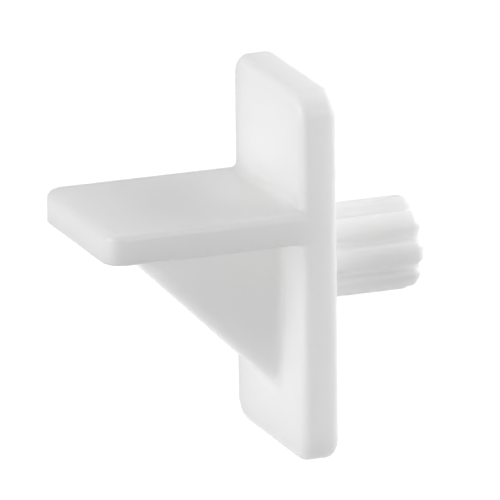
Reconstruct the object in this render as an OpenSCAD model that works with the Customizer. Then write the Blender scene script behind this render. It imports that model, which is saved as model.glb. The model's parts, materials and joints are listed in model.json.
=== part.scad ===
// Shelf support pin, moulded in one piece.
// An upright plate carries a ledge and a gusset on its front, and a fluted peg on its back.
// The peg's axis is +Y, and its centre on the plate's back face is the origin. The shelf lies on the ledge, +Z up.

/* [Plate] */
// Width of the plate, and of the ledge in front of it
plate_w = 12.7; // [10:0.1:18]
// Height of the plate, with the peg at its middle
plate_h = 25.4; // [22:0.1:34]
// Thickness of the plate
plate_t = 2.6; // [2:0.1:4]
// Radius of the plate's four corners, seen from the front
plate_corner = 1.75; // [1:0.05:2.5]
// Rounding of the plate's front and back edges
plate_edge = 0.7; // [0.2:0.05:0.9]

/* [Ledge] */
// Reach of the ledge in front of the plate
ledge_reach = 13.6; // [10:0.1:18]
// Thickness of the ledge
ledge_t = 2.2; // [1.6:0.05:3.2]
// Height of the ledge's top, where the shelf lies, above the peg's axis
ledge_rise = 4.7; // [3.6:0.05:7]
// Radius of the ledge's two free corners, seen from above
ledge_corner = 1.4; // [1:0.05:2.5]
// Rounding of the ledge's upper edges
ledge_edge = 0.55; // [0.2:0.05:1]
// Rounding of the ledge's lower edges
ledge_under = 0.2; // [0.1:0.05:0.5]

/* [Gusset] */
// Width of the gusset at its free, sloping edge
gusset_w = 4.4; // [2.4:0.1:6.4]
// Distance from the ledge's tip to where the gusset starts
gusset_inset = 2.4; // [1.6:0.1:5]
// Distance that the gusset reaches down the plate, from under the ledge
gusset_drop = 11; // [7:0.1:13.5]
// Rounding of the gusset's free corners
gusset_edge = 0.8; // [0.2:0.05:1.2]
// Draft of each side of the gusset, in degrees, which makes it thicker at its root
gusset_draft = 6; // [0:0.5:8]

/* [Peg] */
// Diameter of the peg over its lobes, which is that of the hole
peg_d = 6.35; // [4.8:0.05:8]
// Length of the peg behind the plate
peg_len = 7.4; // [5:0.1:12]
// Rounding of the peg's end
peg_nose = 0.7; // [0.2:0.05:1.2]
// Number of flutes along the peg
flutes = 8; // [4:1:9]
// Width of each flute at the peg's surface
flute_w = 0.55; // [0.4:0.05:0.8]
// Width of each flute at its floor
flute_floor = 0.3; // [0.2:0.05:0.5]
// Depth of each flute
flute_depth = 0.65; // [0.3:0.05:0.8]

/* [Hidden] */
$fn = 96;

// The ledge and the gusset run this far into the plate, and the gusset into the ledge, so that they are one body
into_plate = plate_t / 2;
into_ledge = ledge_t / 2;

ledge_underside = ledge_rise - ledge_t;
ledge_tip = -plate_t - ledge_reach;

gusset_run = ledge_reach - gusset_inset;
gusset_slope = atan2(gusset_drop, gusset_run);
gusset_foot = ledge_underside - gusset_drop;
// Distance from the gusset's free edge to a point well past its root
gusset_root = gusset_run + gusset_drop;
gusset_root_w = gusset_w + 2 * gusset_root * tan(gusset_draft);

peg_r = peg_d / 2;

// What a rounded corner loses: a square less its inscribed quarter disc
module corner_loss(radius) {
    difference() {
        square(radius);
        circle(radius);
    }
}

// Section through the rim of a slab, with its outer corners rounded
module rim_section(depth, thickness, low_edge, high_edge) {
    difference() {
        square([depth, thickness]);
        translate([depth - high_edge, thickness - high_edge]) corner_loss(high_edge);
        translate([depth - low_edge, low_edge]) mirror([0, 1]) corner_loss(low_edge);
    }
}

// Flat slab on the XY plane: the rim section runs straight along four sides and turns round four corners
module soft_slab(width, length, thickness, corner, low_edge, high_edge) {
    core = [width - 2 * corner, length - 2 * corner];
    translate([-core.x / 2, -core.y / 2, 0]) cube([core.x, core.y, thickness]);
    for (turn = [0 : 3]) {
        across = turn % 2 == 0 ? core.x : core.y;
        along = turn % 2 == 0 ? core.y : core.x;
        rotate(90 * turn) translate([across / 2, along / 2, 0]) {
            rotate([90, 0, 0]) linear_extrude(along) rim_section(corner, thickness, low_edge, high_edge);
            rotate_extrude(angle = 90) rim_section(corner, thickness, low_edge, high_edge);
        }
    }
}

module plate() {
    rotate([90, 0, 0]) soft_slab(plate_w, plate_h, plate_t, plate_corner, plate_edge, plate_edge);
}

// Half of a slab twice as long, cut off inside the plate
module ledge() {
    length = 2 * -ledge_tip;
    difference() {
        translate([0, 0, ledge_underside])
            soft_slab(plate_w, length, ledge_t, ledge_corner, ledge_under, ledge_edge);
        translate([-plate_w, -into_plate, ledge_underside - ledge_t]) cube([2 * plate_w, length, 3 * ledge_t]);
    }
}

// Section square to the gusset's slope: the free edge lies on the X axis and the drafted sides run up to the root
module gusset_section() {
    side_x = gusset_edge * cos(gusset_draft);
    side_y = gusset_edge * (1 - sin(gusset_draft));
    arc_x = gusset_w / 2 - side_y / cos(gusset_draft);
    half = [[0, 0], [arc_x, 0], [arc_x + side_x, side_y], [gusset_root_w / 2, gusset_root], [0, gusset_root]];
    for (side = [0, 1]) mirror([side, 0]) {
        polygon(half);
        translate([arc_x, gusset_edge]) circle(gusset_edge);
    }
}

// A bar along the slope, kept where it lies in front of the plate and under the ledge
module gusset() {
    reach = [plate_w, ledge_reach + into_plate, gusset_drop + into_ledge + into_plate];
    intersection() {
        translate([0, -plate_t, gusset_foot]) rotate([90 - gusset_slope, 0, 0])
            linear_extrude(4 * gusset_root, center = true) gusset_section();
        translate([-reach.x / 2, ledge_tip, ledge_underside + into_ledge - reach.z]) cube(reach);
    }
}

// Half section of the peg's blank, with a rounded end
module peg_section() {
    difference() {
        square([peg_r, peg_len]);
        translate([peg_r - peg_nose, peg_len - peg_nose]) corner_loss(peg_nose);
    }
}

// Section of a flute: its sides are drafted from the floor to the peg's surface, and run straight on outside it
module flute_section() {
    half = [[peg_r - flute_depth, flute_floor / 2], [peg_r, flute_w / 2], [2 * peg_r, flute_w / 2]];
    polygon([half[0], half[1], half[2], [half[2].x, -half[2].y], [half[1].x, -half[1].y], [half[0].x, -half[0].y]]);
}

module peg() {
    rotate([-90, 0, 0]) difference() {
        rotate_extrude() peg_section();
        for (i = [0 : flutes - 1])
            rotate((i + 0.5) * 360 / flutes) translate([0, 0, -peg_len]) linear_extrude(3 * peg_len) flute_section();
    }
}

module shelf_pin() {
    color([0.94, 0.94, 0.93]) {
        plate();
        ledge();
        gusset();
        peg();
    }
}

shelf_pin();
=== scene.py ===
# %% [markdown]
# # A shelf support pin in white plastic
# The pin holds up one corner of a cabinet shelf. Its fluted peg presses into a drilled hole in the
# cabinet's side, and the shelf lies on its ledge, with a gusset below to carry the load. The whole
# thing is moulded in one shot. The packed model gives its place and its sizes. This lesson moulds the
# same body again with the soft roots and lips that a mould leaves, gives it a satin white plastic, and
# lights it as a small thing over a pale floor.

# %% Load the frame
import json
import math
import bpy
import numpy as np
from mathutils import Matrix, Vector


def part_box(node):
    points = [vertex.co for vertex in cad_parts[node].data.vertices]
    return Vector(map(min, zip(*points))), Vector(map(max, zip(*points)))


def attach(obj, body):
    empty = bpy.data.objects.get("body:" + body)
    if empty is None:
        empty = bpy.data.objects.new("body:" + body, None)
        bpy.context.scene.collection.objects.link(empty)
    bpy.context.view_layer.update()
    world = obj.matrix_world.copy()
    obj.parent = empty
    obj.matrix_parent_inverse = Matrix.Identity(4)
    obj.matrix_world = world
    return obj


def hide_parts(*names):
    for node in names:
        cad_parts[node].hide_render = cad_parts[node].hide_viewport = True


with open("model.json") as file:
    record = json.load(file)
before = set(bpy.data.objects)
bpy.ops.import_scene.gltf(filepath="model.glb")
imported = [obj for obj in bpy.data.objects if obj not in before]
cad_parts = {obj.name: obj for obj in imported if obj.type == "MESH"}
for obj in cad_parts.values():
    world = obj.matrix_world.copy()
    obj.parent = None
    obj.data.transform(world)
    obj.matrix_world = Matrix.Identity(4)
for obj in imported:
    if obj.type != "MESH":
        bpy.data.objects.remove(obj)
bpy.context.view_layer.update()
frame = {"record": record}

import openvdb
from mathutils import Matrix, Vector

mm = 0.001
low, high = (np.array(corner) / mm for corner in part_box("shelf_pin"))
print("The CAD body spans, in mm:", low.round(3), "to", high.round(3))

# %% [markdown]
# ## Sizes
# Every size is in millimetres, in the frame of the CAD model: the peg's axis is +Y, the shelf's load
# comes down along Z, and the origin is on the plate's back face. The outer sizes are read from the
# frame and its mounts, so they can't drift from the model. What a box can't tell, such as a thickness
# or a rounding, is written beside its piece.

# %% Sizes that the frame gives
mounts = {mount["name"]: mount for mount in frame["record"]["mounts"]}
half_width, peg_end, half_height = high
ledge_tip = low[1]
ledge_top = mounts["shelf_seat"]["pos_m"][2] / mm
peg_radius = mounts["peg"]["dims"]["r_mm"]
print(f"Ledge top at {ledge_top:.2f} mm, its tip at {ledge_tip:.2f} mm")
print(f"Peg {2 * peg_radius:.2f} mm across and {peg_end:.2f} mm long")

# %% [markdown]
# ## Soft corners from distances
# A moulded part has no sharp corner: edges are rounded for the hand, and inner corners so that the
# plastic flows. Bevel modifiers stumble where roundings of different radius run into each other, as
# they do at this ledge's root. So each form is written as a distance: negative inside, zero on the
# surface, positive outside. One small formula then rounds the edge where two distances meet, and the
# same formula turned inside out rounds an inner corner.

# %% Rounded edges and rounded roots
def soft_edge(first, second, radius):
    """What lies inside both forms, with the outer edge between them rounded."""
    first = first + radius
    second = second + radius
    outside = np.hypot(np.maximum(first, 0), np.maximum(second, 0))
    return outside + np.minimum(np.maximum(first, second), 0) - radius


def soft_root(first, second, radius):
    """Both forms joined, with the inner corner between them rounded."""
    return -soft_edge(-first, -second, radius)


lost = soft_edge(np.array(0.0), np.array(0.0), radius=1.0)
print(f"A rounding of 1 mm stands {lost:.3f} mm back from the sharp corner")

# %% [markdown]
# ## Plate
# The plate is the flat back that lies against the cabinet's side. It is a slab with four rounded
# corners, and its front and back rims are rounded too. A cube with two bevels would nearly do, but the
# two roundings have to run into each other smoothly at the corners: an outline first, then a rim along
# it, does just that.

# %% Plate
plate_thick = 2.6
plate_corner = 1.75
plate_edge = 0.7
plate_middle = -plate_thick / 2


def plate(x, y, z):
    """Distance to the plate."""
    outline = soft_edge(np.abs(x) - half_width, np.abs(z) - half_height, plate_corner)
    faces = np.abs(y - plate_middle) - plate_thick / 2
    return soft_edge(outline, faces, plate_edge)


print(f"Plate {2 * half_width:.1f} x {2 * half_height:.1f} x {plate_thick} mm")

# %% [markdown]
# ## Ledge
# The shelf lies on this tongue. Its upper edge is rounded most at the tip, so that a shelf slides on,
# and less along the sides, and its lower edge is nearly square. Bevel weights could give three radii,
# but these roundings have to run into each other at the corners. So each of these edges gets a distance
# of its own, and what lies inside all of them is the ledge. It ends inside the plate, where the join is
# buried.

# %% Ledge
ledge_thick = 2.2
ledge_corner = 1.4
ledge_nose = 0.95
ledge_edge = 0.55
ledge_under = 0.2
ledge_bottom = ledge_top - ledge_thick


def ledge(x, y, z):
    """Distance to the ledge."""
    outline = soft_edge(np.abs(x) - half_width, ledge_tip - y, ledge_corner)
    nose = soft_edge(ledge_tip - y, z - ledge_top, ledge_nose)
    upper = soft_edge(outline, z - ledge_top, ledge_edge)
    lower = soft_edge(outline, ledge_bottom - z, ledge_under)
    return np.maximum.reduce([nose, upper, lower, y - plate_middle])


print(f"Ledge reaches {-plate_thick - ledge_tip:.1f} mm in front of the plate")

# %% [markdown]
# ## Gusset
# A thick rib under the ledge takes the load into the plate. It is thicker at its root than at its free
# edge, so that it leaves the mould, and that free edge runs down at a slope. Two distances describe it:
# one to the sloping free face, and one to the drafted sides. It is cut off inside the plate and inside
# the ledge.

# %% Gusset
gusset_width = 4.4
gusset_inset = 2.4
gusset_drop = 11.0
gusset_edge = 0.8
gusset_draft = math.radians(6)
gusset_foot = ledge_bottom - gusset_drop
gusset_run = -plate_thick - ledge_tip - gusset_inset
gusset_slope = math.atan2(gusset_drop, gusset_run)


def gusset(x, y, z):
    """Distance to the gusset."""
    free = -(y + plate_thick) * math.sin(gusset_slope) - (z - gusset_foot) * math.cos(gusset_slope)
    side = (np.abs(x) - gusset_width / 2) * math.cos(gusset_draft) + free * math.sin(gusset_draft)
    bar = soft_edge(free, side, gusset_edge)
    return np.maximum.reduce([bar, y - plate_middle, z - ledge_bottom - ledge_thick / 2])


print(f"Gusset slopes at {math.degrees(gusset_slope):.1f} degrees, its foot at {gusset_foot:.2f} mm")

# %% [markdown]
# ## Peg
# Eight flutes run along the peg. They let it squeeze into a hole that is a little tight, and they are
# what shows most at the back. Folding the angle round the axis into one pitch makes a single flute
# serve for all of them. A flute is a slot with drafted sides and a rounded floor. Rounding its lips
# gives the section of the peg, and then the end of that section is rounded, so that the rounding
# follows the lobes down into the flutes. That is why the end of the peg shows a notch at every flute.

# %% Peg
peg_nose = 0.7
flute_count = 8
flute_width = 0.8
flute_floor = 0.3
flute_depth = 0.65
flute_round = 0.14
flute_lip = 0.5
flute_draft = math.atan2(flute_width - flute_floor, 2 * flute_depth)


def peg(x, y, z):
    """Distance to the peg."""
    radius = np.hypot(x, z)
    pitch = 2 * math.pi / flute_count
    turn = np.arctan2(z, x) % pitch - pitch / 2
    above = radius * np.cos(turn) - peg_radius + flute_depth
    beside = np.abs(radius * np.sin(turn)) - flute_floor / 2
    wall = beside * math.cos(flute_draft) - above * math.sin(flute_draft)
    flute = soft_edge(wall, -above, flute_round)
    section = soft_edge(radius - peg_radius, -flute, flute_lip)
    return np.maximum(soft_edge(section, y - peg_end, peg_nose), plate_middle - y)


print(f"Peg with {flute_count} flutes, {flute_depth} mm deep and {flute_width} mm wide")

# %% [markdown]
# ## One body
# The four forms become one body, with a rounded root wherever two of them meet. At the two sides the
# ledge runs flush with the plate, and a wide root would swell out of them. So there the wide root
# changes smoothly into a tight one, which is never wider than its distance from the side.

# %% Join the forms
ledge_root = 0.8
side_root = 0.3
root_fade = 1.8
gusset_root = 0.45
peg_root = 0.15


def pin(points):
    """Distance from each point, in mm, to the surface of the whole pin."""
    x, y, z = np.moveaxis(points, -1, 0)
    upright = plate(x, y, z)
    tongue = ledge(x, y, z)
    inward = half_width - np.abs(x)
    tight = soft_root(upright, tongue, np.clip(inward, 0, side_root))
    wide = soft_root(upright, tongue, ledge_root)
    ramp = np.clip(inward / root_fade, 0, 1)
    body = tight + (wide - tight) * ramp ** 2 * (3 - 2 * ramp)
    body = soft_root(body, gusset(x, y, z), gusset_root)
    return soft_root(body, peg(x, y, z), peg_root)


inside = np.array([0.0, plate_middle, half_height / 2])
print(f"Distance in the middle of the plate: {pin(inside):.2f} mm")

# %% [markdown]
# ## Mesh
# The distance is sampled on a fine grid, and the volume library that comes with Blender turns it into
# quads. The grid starts a broken number of steps outside the box, so that no outer face lies exactly on
# a row of samples. The points lie close to the surface, not on it, so each then slides along the slope
# of the distance until it reads zero. Flat faces come out flat to the micron, and the same slope gives
# every point its true normal.

# %% Sample the distance and mesh it
step = 0.15
margin_steps = 2.37
margin = margin_steps * step
axes = [np.arange(start - margin, end + 2 * margin, step) for start, end in zip(low, high)]
samples = pin(np.stack(np.meshgrid(*axes, indexing="ij"), axis=-1))
grid = openvdb.FloatGrid()
grid.copyFromArray(samples)
points, quads = grid.convertToQuads()
points = points * step + (low - margin)
print(f"{samples.size} samples gave {len(points)} points and {len(quads)} quads")

# %% Slide the points onto the surface
slides = 5


def slope(points, reach=0.002):
    """How the distance grows along x, y and z at each point."""
    rise = [pin(points + shift) - pin(points - shift) for shift in reach * np.eye(3)]
    return np.stack(rise, axis=-1) / (2 * reach)


for _ in range(slides):
    normals = slope(points)
    points = points - normals * (pin(points) / np.sum(normals ** 2, axis=-1))[:, None]
normals = slope(points)
normals = normals / np.linalg.norm(normals, axis=-1, keepdims=True)
print("Largest distance left, in mm:", float(np.abs(pin(points)).max()))

# %% [markdown]
# ## Where the edges are
# Handling polishes the outer edges of such a part, so they are a little glossier than its flat faces.
# Blender's own Pointiness could find them, but it changes with the mesh, and the distance doesn't: how
# far the surface bends away around a point tells how much of an edge it is. That number is kept on the
# mesh for the material.

# %% Measure the edges
edge_reach = 0.35
edge_bend = 0.03
shifts = edge_reach * np.concatenate([np.eye(3), -np.eye(3)])
bend = np.mean([pin(points + shift) for shift in shifts], axis=0)
edge = np.clip(bend / edge_bend, 0, 1)
print(f"{np.mean(edge > 0.5):.0%} of the points lie on an edge")

# %% [markdown]
# ## Object
# Points, quads and normals become one object. It takes the place of the CAD body, which is hidden, and
# it is tied to the frame's root body. Setting the normals keeps the shading as smooth as the distance,
# whatever the size of the quads.

# %% Make the object
mesh = bpy.data.meshes.new("shelf_pin_body")
mesh.from_pydata(points * mm, [], quads)
mesh.normals_split_custom_set_from_vertices(normals)
edge_values = mesh.attributes.new("edge", "FLOAT", "POINT")
edge_values.data.foreach_set("value", edge.astype(np.float32))
body = bpy.data.objects.new("shelf_pin_body", mesh)
bpy.context.collection.objects.link(body)
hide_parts("shelf_pin")
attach(body, "root")
print("Made", body.name, "with", len(mesh.polygons), "faces")

# %% [markdown]
# ## Shader maths as expressions
# A node tree is easier to read as a formula. This class wraps one output of a node, and the operators
# on it add Math nodes, also where a plain number comes first, as in 1 - mask. Any other node comes from
# its method node.

# %% A socket that does sums
class Socket:
    """One output of a shader node."""

    def __init__(self, tree, output):
        self.tree = tree
        self.output = output

    @classmethod
    def node(cls, tree, kind, settings=None, inputs=None, output=0):
        """Adds a node, sets it, fills its inputs with values or sockets, and returns an output."""
        made = tree.nodes.new(kind)
        for name, value in (settings or {}).items():
            setattr(made, name, value)
        for name, value in (inputs or {}).items():
            if isinstance(value, cls):
                tree.links.new(value.output, made.inputs[name])
            else:
                made.inputs[name].default_value = value
        return cls(tree, made.outputs[output]) if made.outputs else None

    def math(self, operation, first, second):
        return self.node(self.tree, "ShaderNodeMath", {"operation": operation}, {0: first, 1: second})

    def __add__(self, other):
        return self.math("ADD", self, other)

    def __sub__(self, other):
        return self.math("SUBTRACT", self, other)

    def __rsub__(self, other):
        return self.math("SUBTRACT", other, self)

    def __mul__(self, other):
        return self.math("MULTIPLY", self, other)

    __radd__ = __add__
    __rmul__ = __mul__


print("Reflected operators:", [name for name in vars(Socket) if name.startswith("__r")])

# %% [markdown]
# ## White plastic
# The real pin is a satin white plastic, nearly neutral. Most of the light goes some millimetres into it
# before it comes out again, which softens every change of shade. Up close such a part isn't one flat
# white: here it has faint cloudy patches, as a melt can leave, and a fine grain and a very slight
# waviness, as from the mould's steel. A picture could hold these marks, but noise needs no file, has no
# seams and keeps its size in millimetres.

# %% Noise at the sizes of the marks
plastic = bpy.data.materials.new("satin_white_plastic")
plastic.use_nodes = True
tree = plastic.node_tree
tree.nodes.clear()
place = Socket.node(tree, "ShaderNodeTexCoord", output="Object")


def noise(mark_size, detail):
    """Noise from 0 to 1 whose marks are about mark_size across, in mm."""
    inputs = {"Vector": place, "Scale": 1 / (mark_size * mm), "Detail": detail}
    return Socket.node(tree, "ShaderNodeTexNoise", inputs=inputs)


cloud = noise(mark_size=5.0, detail=3.0)
wave = noise(mark_size=1.6, detail=1.0)
grain = noise(mark_size=0.14, detail=2.0)
print("Noise nodes:", len(tree.nodes) - 1)

# %% Colour
white_clear = (0.93, 0.93, 0.926, 1)
white_milky = (0.91, 0.91, 0.905, 1)
shades = {"Factor": cloud, "A": white_clear, "B": white_milky}
colour = Socket.node(tree, "ShaderNodeMix", {"data_type": "RGBA"}, shades, output="Result")
print("White from", white_clear[:3], "to", white_milky[:3])

# %% Roughness
plain_roughness = 0.42
grain_roughness = 0.12
cloud_roughness = 0.08
edge_polish = 0.07
noise_middle = 0.5
edge_mask = Socket.node(tree, "ShaderNodeAttribute", {"attribute_name": "edge"}, output="Fac")
roughness = plain_roughness + grain_roughness * (grain - noise_middle)
roughness = roughness + cloud_roughness * (cloud - noise_middle) - edge_polish * edge_mask
print("Roughness about", plain_roughness, "and", edge_polish, "less on the edges")

# %% Relief, with heights in mm
wave_height = 0.0035
grain_height = 0.0008
relief = wave_height * wave + grain_height * grain
bump = Socket.node(tree, "ShaderNodeBump", inputs={"Height": relief, "Distance": mm, "Strength": 1.0})
print("Nodes so far:", len(tree.nodes))

# %% Plastic shader
light_depth = 5.0
light_share = 0.7
alike_in_all_colours = (1.0, 1.0, 1.0)
plastic_ior = 1.5
surface = Socket.node(tree, "ShaderNodeBsdfPrincipled", inputs={
    "Base Color": colour,
    "Roughness": roughness,
    "Normal": bump,
    "Subsurface Weight": light_share,
    "Subsurface Radius": alike_in_all_colours,
    "Subsurface Scale": light_depth * mm,
    "IOR": plastic_ior,
})
Socket.node(tree, "ShaderNodeOutputMaterial", inputs={"Surface": surface})
mesh.materials.append(plastic)
print("Material nodes:", len(tree.nodes))

# %% [markdown]
# ## Floor
# A plain pale floor lies well below the pin, which hangs in the air as it does when its peg is in a
# hole. It is a disc that ends inside the ring of lamps, and its edge all but merges with the white
# room. It has to read as white behind the pin and still take its shadow. So it is a matt grey that the
# lamps light, plus a glow for what the camera sees, straight, mirrored or through glass. The glow shows
# in the pin's sheen and adds no other light to it.

# %% Floor
floor_drop = 60
floor_radius = 450
floor_sides = 96
floor_height = (low[2] - floor_drop) * mm
bpy.ops.mesh.primitive_circle_add(
    vertices=floor_sides,
    radius=floor_radius * mm,
    fill_type="NGON",
    location=(0, 0, floor_height),
)
floor = bpy.context.object
floor.name = "floor"
print("Floor at", round(floor_height / mm, 1), "mm")


# %% Pale floor
def seen(tree):
    """1 for what the camera sees, straight, mirrored or through glass, and 0 for other light."""
    kinds = ["Is Camera Ray", "Is Glossy Ray", "Is Transmission Ray"]
    return sum(Socket.node(tree, "ShaderNodeLightPath", output=kind) for kind in kinds)


floor_grey = (0.6, 0.6, 0.6, 1)
floor_glow = 0.7
pale = bpy.data.materials.new("pale_floor")
pale.use_nodes = True
pale_tree = pale.node_tree
pale_tree.nodes.clear()
matt = Socket.node(pale_tree, "ShaderNodeBsdfDiffuse", inputs={"Color": floor_grey})
glow = Socket.node(pale_tree, "ShaderNodeEmission", inputs={"Strength": floor_glow * seen(pale_tree)})
both = Socket.node(pale_tree, "ShaderNodeAddShader", inputs={0: matt, 1: glow})
Socket.node(pale_tree, "ShaderNodeOutputMaterial", inputs={"Surface": both})
floor.data.materials.append(pale)
print("Floor nodes:", len(pale_tree.nodes))

# %% [markdown]
# ## Room
# The room is white all round. The camera sees it as plain white, and it adds a little soft light to the
# pin from every side. A real white room would light the pin far more and flatten its shades, so what is
# seen and what gives light are two different strengths here.

# %% World
ambient = 0.04
room_white = (1, 1, 1, 1)
world = bpy.data.worlds.new("studio")
bpy.context.scene.world = world
world.use_nodes = True
sky = world.node_tree
sky.nodes.clear()
strength = ambient + (1 - ambient) * seen(sky)
backdrop = Socket.node(sky, "ShaderNodeBackground", inputs={"Color": room_white, "Strength": strength})
Socket.node(sky, "ShaderNodeOutputWorld", inputs={"Surface": backdrop})
print("Light from the room:", ambient)

# %% [markdown]
# ## Lamps
# Six soft boxes stand round the pin, none so bright that a face of the white plastic clips. A low strip
# in front lights the plate and the ledge's tip, and a weaker one above it reaches the ledge's top. One
# hangs overhead. Two stand behind and light the peg and the rims, and one at the right keeps the narrow
# sides that face it from going grey. None stands at the left, because the ledge's top would mirror it
# to the camera as a bright streak.

# %% Lamps
lamp_distance = 500


def direction(azimuth, elevation):
    """Unit vector from the pin, from degrees: azimuth 0 is in front of the ledge and 90 is at +X."""
    turn = math.radians(azimuth)
    lift = math.radians(elevation)
    return Vector((math.sin(turn) * math.cos(lift), -math.cos(turn) * math.cos(lift), math.sin(lift)))


def soft_box(name, azimuth, elevation, width, height, power):
    """A soft box that looks at the pin; its sizes are in mm and its power is in watts."""
    towards = direction(azimuth, elevation)
    lamp = bpy.data.lights.new(name, "AREA")
    lamp.shape = "RECTANGLE"
    lamp.size = width * mm
    lamp.size_y = height * mm
    lamp.energy = power
    box = bpy.data.objects.new(name, lamp)
    box.location = towards * lamp_distance * mm
    box.rotation_mode = "QUATERNION"
    box.rotation_quaternion = towards.to_track_quat("Z", "Y")
    box.visible_camera = False
    bpy.context.collection.objects.link(box)
    return box


boxes = [
    soft_box("front_box", azimuth=-2, elevation=0, width=500, height=140, power=1.2),
    soft_box("front_fill", azimuth=-2, elevation=12, width=500, height=150, power=0.42),
    soft_box("top_box", azimuth=0, elevation=85, width=400, height=400, power=1.0),
    soft_box("back_box", azimuth=183, elevation=6, width=600, height=120, power=0.7),
    soft_box("back_fill", azimuth=183, elevation=32, width=600, height=250, power=1.4),
    soft_box("right_box", azimuth=112, elevation=10, width=450, height=180, power=0.6),
]
print("Lamps:", [box.name for box in boxes])

# %% [markdown]
# ## Camera
# The picture is taken from far away with a long lens, so the pin's parallel edges stay very nearly
# parallel. The angles, the width of the picture and the point in its middle were fitted to the pin's
# outline. The lens then follows from the distance and from the width that the picture has to hold.

# %% Camera
camera_distance = 900
camera_azimuth = 69.191
camera_elevation = 16.298
camera_roll = -0.664
picture_width = 33.06
aim = Vector((-1.351, -3.365, 0.231))
back = direction(camera_azimuth, camera_elevation)
roll = Matrix.Rotation(math.radians(camera_roll), 4, "Z")
lens = bpy.data.cameras.new("camera")
lens.sensor_width = 36
lens.lens = lens.sensor_width * camera_distance / picture_width
lens.clip_start = 0.01
lens.clip_end = 20
camera = bpy.data.objects.new("camera", lens)
bpy.context.collection.objects.link(camera)
place_camera = Matrix.Translation((aim + back * camera_distance) * mm)
camera.matrix_world = place_camera @ back.to_track_quat("Z", "Y").to_matrix().to_4x4() @ roll
bpy.context.scene.camera = camera
bpy.context.scene.view_settings.view_transform = "Standard"
print("Focal length:", round(lens.lens), "mm")
